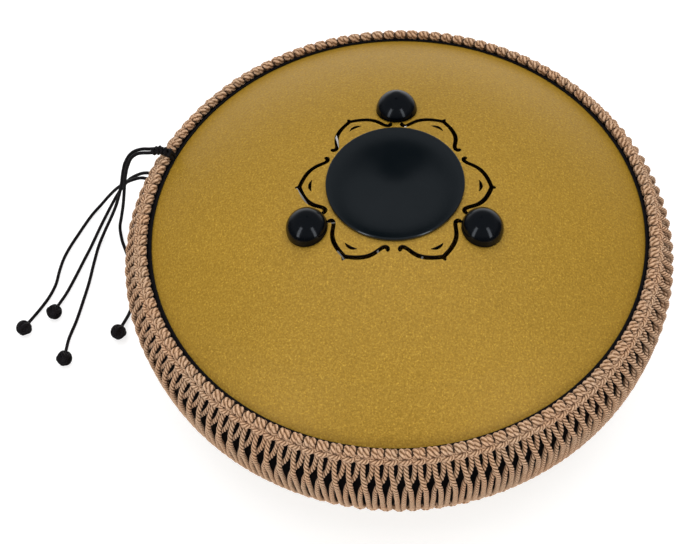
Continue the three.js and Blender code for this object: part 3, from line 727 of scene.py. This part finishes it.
def slit_cutter(centre, widths):
    """A closed bar along a middle line in plan, with its upper edge flared at the dome's surface."""
    centre, half = np.asarray(centre, float), np.asarray(widths, float)[:, None] / 2
    along = unit(np.gradient(centre, axis=0))
    left = np.stack([-along[:, 1], along[:, 0]], axis=1)
    surface = dome_height(np.linalg.norm(centre, axis=1))
    levels = [(0, CUT_BELOW), (0, FLARE_FROM), (FLARE, OVER_SURFACE), (FLARE + OVER_SURFACE, CUT_ABOVE)]
    outline = [(1, *level) for level in levels] + [(-1, *level) for level in reversed(levels)]
    rows = []
    for side, wider, level in outline:
        plan = centre + side * (half + wider) * left
        rows.append(np.concatenate([plan, (surface + level)[:, None]], axis=1))
    points = np.stack(rows, axis=1)
    count, ring = points.shape[:2]
    ends = np.stack([np.arange(ring)[::-1], (count - 1) * ring + np.arange(ring)])
    return points.reshape(-1, 3), [grid_faces(count, ring), ends]


def round_ends(length, width, steps):
    """Widths along a slit whose two ends are rounded."""
    at = np.linspace(0, length, steps)
    near = np.minimum(at, length - at) / (width / 2)
    return width * np.sqrt(np.clip(1 - np.square(1 - np.minimum(near, 1)), END_SHARE, 1))


def turned_about(points, angle):
    cosine, sine = math.cos(angle), math.sin(angle)
    return points @ np.array([[cosine, sine, 0], [-sine, cosine, 0], [0, 0, 1]])


def even_plan(line, steps):
    """Even steps along a line in plan."""
    return even_steps(np.concatenate([line, np.zeros((len(line), 1))], axis=1), steps)[:, :2]


# %% [markdown]
# A petal is drawn by its half: a curl at the foot, a flank that swells and draws in again, and a small spur
# at the tip. The other half is its mirror. The two are cut one after the other, because they overlap at the
# tip. A small crescent lies in each petal.

# %% Petals and crescents
PETAL_COUNT, PETAL_FIRST_ANGLE, PETAL_SLIT, DRAWN_SLIT = 6, math.radians(0.8), 2.65, 2.1
PETAL_FOOT, PETAL_JOINT, PETAL_TIP = np.array([45.2, 19.2]), np.array([62.7, 0.0]), np.array([65.4, 0.0])
SPUR_BEND, CURL_RADIUS, CURL_TURN = (63.9, -0.35), 1.7, math.radians(150)
WIDTH_AT, DRAWN_WIDTHS = [0, 0.02, 0.06, 0.2, 0.5, 0.8, 0.92, 1], [0.7, 1.7, 2.2, 1.9, 2.2, 2.1, 2.1, 0.45]
CRESCENT_RADIUS, CRESCENT_HALF, CRESCENT_WIDTH = 56.7, 4.4, 1.9


def bezier(points, steps):
    t = np.linspace(0, 1, steps)[:, None]
    a, b, c, d = (np.asarray(point, float) for point in points)
    return (1 - t) ** 3 * a + 3 * t * (1 - t) ** 2 * b + 3 * t**2 * (1 - t) * c + t**3 * d


def petal_half():
    reach = PETAL_JOINT[0] - PETAL_FOOT[0]
    hollow = PETAL_FOOT + (0.2 * reach, -0.2 * PETAL_FOOT[1])
    belly = np.array([PETAL_FOOT[0] + 0.68 * reach, 0.95 * PETAL_FOOT[1]])
    flank = bezier((PETAL_FOOT, hollow, belly, PETAL_JOINT), 60)
    away = unit(PETAL_FOOT - hollow)
    pin = PETAL_FOOT + CURL_RADIUS * np.array([away[1], -away[0]])
    x, y = PETAL_FOOT - pin
    turns = -np.linspace(1, 0, 18, endpoint=False) * CURL_TURN
    cosine, sine = np.cos(turns), np.sin(turns)
    curl = pin + np.stack([x * cosine - y * sine, x * sine + y * cosine], axis=1)
    into_tip = unit(PETAL_JOINT - belly)
    spur = bezier((PETAL_JOINT, PETAL_JOINT + 0.5 * into_tip, SPUR_BEND, PETAL_TIP), 8)[1:]
    line = even_plan(np.concatenate([curl, flank, spur]), 90)
    width = np.interp(np.linspace(0, 1, len(line)), WIDTH_AT, DRAWN_WIDTHS)
    return line, width * PETAL_SLIT / DRAWN_SLIT


def crescent():
    share = np.linspace(-1, 1, 25)
    width = CRESCENT_WIDTH * np.maximum(1 - share**2, 0.08)
    radius = CRESCENT_RADIUS - CRESCENT_HALF / 2 * share**2 - width / 2
    return np.stack([radius, CRESCENT_HALF * share], axis=1), width


half_line, half_width = petal_half()
angles = PETAL_FIRST_ANGLE + full_turn(PETAL_COUNT)
left_half = slit_cutter(half_line, half_width)
right_half = slit_cutter(half_line[::-1] * (1, -1), half_width[::-1])
dash = slit_cutter(*crescent())
petal_cuts = [
    joined([(turned_about(shape[0], angle), shape[1]) for shape in shapes for angle in angles])
    for shapes in ((left_half, dash), (right_half,))
]
print("petals", PETAL_COUNT, "slit along half a petal", round(route_length(half_line), 1))

# %% [markdown]
# The tongues are on the hidden playing side. Each is cut free by a slit like a U, with its root outside and
# its round tip towards the middle. A shorter tongue sounds higher, so the length falls from note to note.

# %% Tongues
# Each ring has its count, and the root radius, first length, root width and tip width of its tongues.
TONGUE_RINGS = [(9, 150, 66, 50, 36), (6, 72, 36, 30, 22)]
TONGUE_SLIT, NOTES_TO_HALVE = 1.8, 36


def tongue_line(note, root, length, root_width, tip_width):
    tip = root - length * 2 ** (-note / NOTES_TO_HALVE)
    bend = np.linspace(0, np.pi, 41)
    round_tip = np.stack([tip + tip_width / 3 * (1 - np.sin(bend)), tip_width / 2 * np.cos(bend)], axis=1)
    line = np.concatenate([[[root, root_width / 2]], round_tip, [[root, -root_width / 2]]])
    return even_plan(line, 120), route_length(line)


tongue_cuts = []
for count, *sizes in TONGUE_RINGS:
    for note in range(count):
        line, length = tongue_line(note, *sizes)
        points, faces = slit_cutter(line, round_ends(length, TONGUE_SLIT, len(line)))
        tongue_cuts.append((turned_about(points, 2 * np.pi * note / count), faces))
print("tongue slits", len(tongue_cuts))

# %% [markdown]
# Each shell is its section turned about the axis, in steps fine enough to look round. A boolean leaves long
# thin faces on the dome, which would shade unevenly. The dome's true direction is known at each point, so it
# is given to every corner of the painted faces, and only the slit walls keep their own.

# %% Shells
SHELL_COLUMNS, HOLE_RADIUS, TURNED_OVER = 288, 34.0, (1, -1, -1)
PAINTED_AGREEMENT, WALL_AGREEMENT = 0.985, 0.7


def cut_through(piece, cutters):
    for points, faces in cutters:
        cutter = make_piece("cutter", points, faces, paint, [])
        cut = piece.modifiers.new("slits", "BOOLEAN")
        cut.operation, cut.solver, cut.object, cut.use_self = "DIFFERENCE", "EXACT", cutter, True
        done = bpy.data.meshes.new_from_object(piece.evaluated_get(bpy.context.evaluated_depsgraph_get()))
        piece.modifiers.clear()
        old, piece.data = piece.data, done
        bpy.data.meshes.remove(old)
        bpy.data.objects.remove(cutter)


def true_directions(points, side):
    """Outward directions of the shell's section at points that are counted from the weld plane."""
    radius = np.linalg.norm(points[:, :2], axis=1)
    height = side * points[:, 2]
    spoke = points[:, :2] / np.maximum(radius, 1e-9)[:, None]
    on_dome = radius < SHOULDER_CENTRE + (SHOULDER_RADIUS - SHELL_WALL) * math.sin(TANGENT_ANGLE)
    on_dome |= np.arctan2(radius - SHOULDER_CENTRE, height - SIDE_HALF_HEIGHT) < TANGENT_ANGLE
    flat = np.where(on_dome, radius, np.maximum(radius - SHOULDER_CENTRE, 1e-6))
    rise = np.where(on_dome, height - DOME_CENTRE, np.maximum(height - SIDE_HALF_HEIGHT, 0))
    return unit(np.concatenate([spoke * flat[:, None], (side * rise)[:, None]], axis=1))


def shade_true(piece, side):
    mesh = piece.data
    corner_points = np.zeros(len(mesh.loops), np.int32)
    mesh.loops.foreach_get("vertex_index", corner_points)
    points = np.zeros(len(mesh.vertices) * 3)
    mesh.vertices.foreach_get("co", points)
    points = points.reshape(-1, 3)[corner_points] / MM - AT_WELD
    own, sizes = np.zeros(len(mesh.polygons) * 3), np.zeros(len(mesh.polygons), np.int32)
    mesh.polygons.foreach_get("normal", own)
    mesh.polygons.foreach_get("loop_total", sizes)
    own = np.repeat(own.reshape(-1, 3), sizes, axis=0)
    true = true_directions(points, side)
    agree = (own * true).sum(1)
    chosen = np.where((np.abs(agree) > PAINTED_AGREEMENT)[:, None], true * np.sign(agree)[:, None], own)
    mesh.polygons.foreach_set("use_smooth", np.ones(len(mesh.polygons), bool))
    mesh.normals_split_custom_set(chosen.tolist())
    walls = np.abs(agree[np.cumsum(sizes) - 1]) < WALL_AGREEMENT
    mesh.attributes.new("slit_wall", "FLOAT", "FACE").data.foreach_set("value", walls.astype(np.float32))
    print(piece.name, "slit walls", int(walls.sum()), "of", len(mesh.polygons), "faces")


def shell_section(from_radius):
    outside = np.concatenate([dome_arc(0, from_radius, 44), shoulder_arc(0, 16)])
    inside = np.concatenate([dome_arc(-SHELL_WALL, from_radius, 44), shoulder_arc(-SHELL_WALL, 16)])
    edge = np.array([[SHELL_RADIUS, WELD_HALF_HEIGHT], [SHELL_RADIUS - SHELL_WALL, WELD_HALF_HEIGHT]])
    return np.concatenate([outside, edge, inside[::-1]])


def turned_piece(name, section, finish, node, columns=SHELL_COLUMNS, closed=True, **form):
    points, faces = turned(section[::-1], columns, closed)
    return make_piece(name, points + AT_WELD, faces, finish, [node], **form)


underside = turned_piece("gold_underside", shell_section(HOLE_RADIUS), paint, "foot_shell")
cut_through(underside, [(cut[0] + AT_WELD, cut[1]) for cut in petal_cuts])
shade_true(underside, 1)

points, faces = turned(shell_section(CROWN_FLAT_RADIUS)[::-1], SHELL_COLUMNS, closed=False)
points = points * TURNED_OVER + AT_WELD
playing_side = make_piece("gold_playing_side", points, faces, paint, ["tongue_shell"])
tongue_points, tongue_faces = joined(tongue_cuts)
cut_through(playing_side, [(tongue_points * TURNED_OVER + AT_WELD, tongue_faces)])
shade_true(playing_side, -1)

# %% [markdown]
# The rim: a ground weld joins the shells, and a black rubber band covers it. The band shows as a dark line
# inside the belt and through the gaps of the net, where a little lint clings to it. Both are turned sections.

# %% Rim weld and rubber band
BEAD_ROUND, BAND_LIP, BAND_STEPS = 0.2, 0.4, 22
BAND_DARK, LINT = (0.003, 0.003, 0.0042, 1), (0.03, 0.033, 0.04, 1)
weld_steel = Finish("weld_steel", Metallic=0.9, Base_Color=(0.22, 0.2, 0.17, 1))
ground = weld_steel.noise(160.0, 3.0, stretch=(1, 1, 14))
weld_steel.bump(ground, 0.3, 0.0002)
weld_steel.wire("Roughness", weld_steel.between(ground, 0.3, 0.7, 0.4, 0.65))
half, inner, outer = WELD_HALF_HEIGHT - CLEARANCE, SHELL_RADIUS - SHELL_WALL, SHELL_RADIUS - BEAD_ROUND
bead = [[inner, half], [outer, half], [SHELL_RADIUS, 0], [outer, -half], [inner, -half]]
turned_piece("weld_bead", bead, weld_steel, "rim_weld")

band_rubber = Finish("band_rubber", Roughness=0.65, Specular_IOR_Level=0.2)
skin = band_rubber.noise(700.0)
lint = band_rubber.noise(420.0, 4.0, 0.7, stretch=(1, 1, 2.5))
lint_share = band_rubber.between(lint, 0.68, 0.76)
band_rubber.wire("Base Color", band_rubber.blend(lint_share, BAND_DARK, LINT))
band_rubber.bump(skin, 0.15, 0.0001)
upper_out, upper_in = (shoulder_arc(lift, BAND_STEPS) for lift in (CLEARANCE + BAND_WALL, CLEARANCE))
lip = (upper_out[0] + upper_in[0]) / 2 + BAND_LIP * unit(upper_out[0] - upper_out[1])
half_band = np.concatenate([upper_in[::-1], [lip], upper_out])
section = np.concatenate([half_band, (half_band * (1, -1))[::-1]])
turned_piece("rubber_band", section, band_rubber, "rim_band")

# %% [markdown]
# The cover is a dished rubber plug with a satin face. It is one section turned about the axis, like the
# shells, with rounded edges, because a sharp moulded edge would catch no light.

# %% Cover
COVER_RADIUS, COVER_EDGE, COVER_DISH, COVER_LIP, PLUG_WALL, PLUG_DEPTH = 45.2, 2.6, 1.8, 3.0, 3.0, 9.0
DISH_SHARE, EDGE_ROUND, SEAT_EASE, PLUG_EASE, PLUG_RISE, ROOT_EASE = 0.88, 1.1, 0.3, 0.5, 0.6, 0.4
WEB_EASE, WEB_RISE, WEB_MIDDLE = 1.0, 1.2, 0.9
cover_rubber = Finish("cover_rubber", Specular_IOR_Level=0.95, Specular_Tint=(0.84, 0.92, 1, 1))
moulded = cover_rubber.noise(1800.0)
rubbed = cover_rubber.noise(40.0, 3.0)
cover_tone = cover_rubber.ramp(rubbed, (0.3, (0.0018, 0.0034, 0.0046)), (0.7, (0.003, 0.0046, 0.006)))
cover_rubber.wire("Base Color", cover_tone)
cover_rubber.wire("Roughness", cover_rubber.between(rubbed, 0.3, 0.7, 0.1, 0.14))
cover_rubber.bump(moulded, 0.12, 0.0001)

seat = dome_height(COVER_RADIUS, CLEARANCE)
plug = HOLE_RADIUS - CLEARANCE
plug_inside = plug - PLUG_WALL
plug_root = dome_height(plug, CLEARANCE)
plug_end = dome_height(HOLE_RADIUS, -SHELL_WALL) - PLUG_DEPTH + COVER_EDGE
rim = seat + COVER_EDGE
web = rim - COVER_DISH - COVER_LIP
share = np.linspace(0.02, 1, 30)
depth = COVER_DISH * (0.5 + 0.5 * np.cos(np.pi * share))
dish = np.stack([DISH_SHARE * COVER_RADIUS * share, rim - depth], axis=1)
edge_middle = (COVER_RADIUS - EDGE_ROUND, rim - EDGE_ROUND)
edge_round = edge_middle + EDGE_ROUND * ray(np.linspace(np.pi / 2, 0, 9))
under = np.array([
    [COVER_RADIUS, seat + SEAT_EASE], [COVER_RADIUS - SEAT_EASE, seat],
    [plug + PLUG_EASE, plug_root], [plug, plug_root - ROOT_EASE],
    [plug, plug_end + PLUG_RISE], [plug - PLUG_EASE, plug_end],
    [plug_inside + PLUG_EASE, plug_end], [plug_inside, plug_end + PLUG_RISE],
    [plug_inside, web + WEB_RISE], [plug_inside - WEB_EASE, web], [WEB_MIDDLE, web],
])
section = np.concatenate([dish, edge_round, under])
turned_piece("rubber_cover", section, cover_rubber, "hole_cover", 160, closed=False, body="cover")

# %% [markdown]
# Three glossy rubber feet are pushed into holes of the underside. They stand square to the dome, so each
# leans a little outward. Their polish gives two clear reflections of the lights. It fades towards the base,
# where a foot is dull and mirrors little of the gold.

# %% Feet
FOOT_CIRCLE_RADIUS, FOOT_RADIUS, FOOT_HEIGHT, FOOT_TIP_RADIUS = 64.6, 13.8, 13.5, 3.0
STEM_RADIUS, STEM_HEAD_RADIUS, STEM_HEAD_LENGTH = 4.0, 6.0, 5.0
FIRST_FOOT_ANGLE, FOOT_STEP, SMALL_EASE, LARGE_EASE = 90.8, 120, 0.3, 0.4
GLOSS_HEIGHTS, GLOSS_LEVELS = (1.5, 7.0), (0.06, 0.42)
foot_rubber = Finish("foot_rubber", Base_Color=(0.0008, 0.0013, 0.0024, 1), Specular_Tint=(0.84, 0.92, 1, 1))
dust = foot_rubber.noise(900.0, 4.0, 0.7)
foot_rubber.wire("Roughness", foot_rubber.between(dust, 0.35, 0.75, 0.1, 0.22))
dome_middle = (0, 0, (WELD_PLANE + DOME_CENTRE) * MM)
above = foot_rubber.measure("DISTANCE", foot_rubber.place(), dome_middle)
dull, glossy = ((DOME_RADIUS + height) * MM for height in GLOSS_HEIGHTS)
foot_rubber.wire("Specular IOR Level", foot_rubber.between(above, dull, glossy, *GLOSS_LEVELS))

first_turn = math.asin(FOOT_TIP_RADIUS / FOOT_RADIUS)
turn = np.linspace(np.pi / 2 - first_turn, 0, 30)
cap = ray(turn) * (FOOT_RADIUS, FOOT_HEIGHT / math.cos(first_turn))
cap[:, 1] = np.maximum(cap[:, 1], 2 * CLEARANCE)
stem, below = STEM_RADIUS - CLEARANCE, -SHELL_WALL - 3 * CLEARANCE
base = np.array([
    [FOOT_RADIUS - LARGE_EASE, CLEARANCE], [stem + SMALL_EASE, CLEARANCE], [stem, CLEARANCE - SMALL_EASE],
    [stem, below + 0.1], [STEM_HEAD_RADIUS - SMALL_EASE, below], [STEM_HEAD_RADIUS, below - LARGE_EASE],
    [stem, below - STEM_HEAD_LENGTH],
])
points, faces = turned(np.concatenate([[[1.0, FOOT_HEIGHT]], cap, base])[::-1], 96, closed=False)
for number in (1, 2, 3):
    angle = math.radians(FIRST_FOOT_ANGLE + FOOT_STEP * (number - 1))
    outward = np.append(ray(angle), 0)
    spot = FOOT_CIRCLE_RADIUS * outward + (0, 0, dome_height(FOOT_CIRCLE_RADIUS))
    lean = unit(spot - (0, 0, DOME_CENTRE))
    across = unit(np.cross(np.cross([0, 0, 1], outward), lean))
    axes = np.stack([across, np.cross(lean, across), lean])
    name, node = f"rubber_foot_{number}", f"foot_{number}"
    make_piece(name, points @ axes + spot + AT_WELD, faces, foot_rubber, [node])

# %% [markdown]
# The drum lies on a plain pale floor. It glows like a light table, so that the shadows stay as pale as in the
# photograph. Under the drum the glow is weaker, which is a painted shadow. A pale wall stands round it for
# views from low down. Only the camera sees the wall: it sends no light. Neither of them shows in a
# reflection.

# %% Floor and wall
ROOM_SIDES, ROOM_RADIUS, WALL_HEIGHT, FLOOR_DROP = 64, 4.0, 3.0, 0.0004
UNDER_DRUM, SHADE_FROM, SHADE_UNTIL, SHADE_GLOW, FLOOR_GLOW = (0, 0.1, 0), 0.08, 0.16, 0.1, 0.72
WHITE, BLACK = (1, 1, 1, 1), (0, 0, 0, 1)
floor_finish = Finish("pale_floor", Roughness=0.8, Specular_IOR_Level=0.1, Emission_Color=WHITE)
paper = floor_finish.noise(500.0)
floor_finish.wire("Base Color", floor_finish.ramp(paper, (0.3, (0.4, 0.4, 0.4)), (0.7, (0.42, 0.42, 0.42))))
# Painted shadow: the floor's glow is weaker under the drum, a little towards the back.
away = floor_finish.measure("DISTANCE", floor_finish.place(), UNDER_DRUM)
glow = floor_finish.between(away, SHADE_FROM, SHADE_UNTIL, SHADE_GLOW, FLOOR_GLOW)
floor_finish.wire("Emission Strength", glow)
wall_finish = Finish("pale_wall", Base_Color=BLACK, Roughness=1, Emission_Color=WHITE, Emission_Strength=0.98)


def stage_piece(name, points, faces, finish):
    mesh = bpy.data.meshes.new(name)
    mesh.from_pydata(points.tolist(), [], faces)
    mesh.materials.append(finish.material)
    thing = bpy.data.objects.new(name, mesh)
    scene.collection.objects.link(thing)
    thing.visible_glossy = False
    return thing


corners, _ = turned([(ROOM_RADIUS, -FLOOR_DROP), (ROOM_RADIUS, WALL_HEIGHT - FLOOR_DROP)], ROOM_SIDES)
stage_piece("floor", corners[:ROOM_SIDES], [list(range(ROOM_SIDES))], floor_finish)
wall = stage_piece("wall", corners, grid_faces(2, ROOM_SIDES).tolist(), wall_finish)
wall.visible_diffuse = wall.visible_shadow = False
print("floor", 2 * ROOM_RADIUS, "m across")

# %% [markdown]
# The room gives the even light and what the glossy pieces mirror: a dim ceiling with one dark patch, which
# is what the cover mirrors towards the camera of the photograph, and a glow low down at the back.

# %% Room
CEILING_LIGHT, BACK_LIGHT = 0.2, 0.9
DARK_PATCH, PATCH_EDGE = (-0.032, 0.495, 0.868), (0.9925, 0.9975)
room = bpy.data.worlds.new("pale_room")
room.use_nodes = True
sky = Nodes(room.node_tree)
towards = sky.node("TexCoord").outputs["Generated"]
way = sky.split(towards)
back_glow = sky.math("MULTIPLY", sky.between(way["Y"], 0.45, 0.95), sky.between(way["Z"], 0.35, 0.0))
beside_patch = sky.between(sky.measure("DOT_PRODUCT", towards, DARK_PATCH), *PATCH_EDGE, 1.0, 0.0)
ceiling = sky.math("MULTIPLY", beside_patch, sky.between(way["Z"], -0.1, 0.25, 0.3, 1.0))
lights = [sky.math("MULTIPLY", ceiling, CEILING_LIGHT), sky.math("MULTIPLY", back_glow, BACK_LIGHT)]
background = room.node_tree.nodes["Background"]
sky.give(background.inputs["Color"], WHITE)
sky.give(background.inputs["Strength"], sky.math("ADD", *lights))
scene.world = room
print("room nodes", len(room.node_tree.nodes))

# %% [markdown]
# Two tall narrow lights stand in front, left and right, as their reflections in the feet show. A wide one
# hangs above, and others fill from the front and both sides. These wide ones show in no reflection.

# %% Lights
MIDDLE = Vector((0, 0, 0.1))
LIGHTS = [
    ("left_strip", (-0.92, -1.0, 0.72), 0.34, 1.5, 3.8, True),
    ("right_strip", (0.92, -1.0, 0.72), 0.34, 1.5, 3.8, True),
    ("overhead", (0.0, 0.6, 2.4), 3.2, 3.2, 84, False),
    ("front_fill", (0.0, -2.5, 0.45), 2.6, 0.9, 21, False),
    ("left_fill", (-2.3, -0.5, 0.6), 1.6, 1.0, 11, False),
    ("right_fill", (2.3, -0.5, 0.6), 1.6, 1.0, 10, False),
]
for name, place, width, height, power, mirrored in LIGHTS:
    data = bpy.data.lights.new(name, "AREA")
    data.shape, data.size, data.size_y, data.energy = "RECTANGLE", width, height, power
    light = bpy.data.objects.new(name, data)
    light.location = place
    light.rotation_euler = (MIDDLE - Vector(place)).to_track_quat("-Z", "Y").to_euler()
    light.visible_glossy = mirrored
    scene.collection.objects.link(light)
    print(name, power, "W")
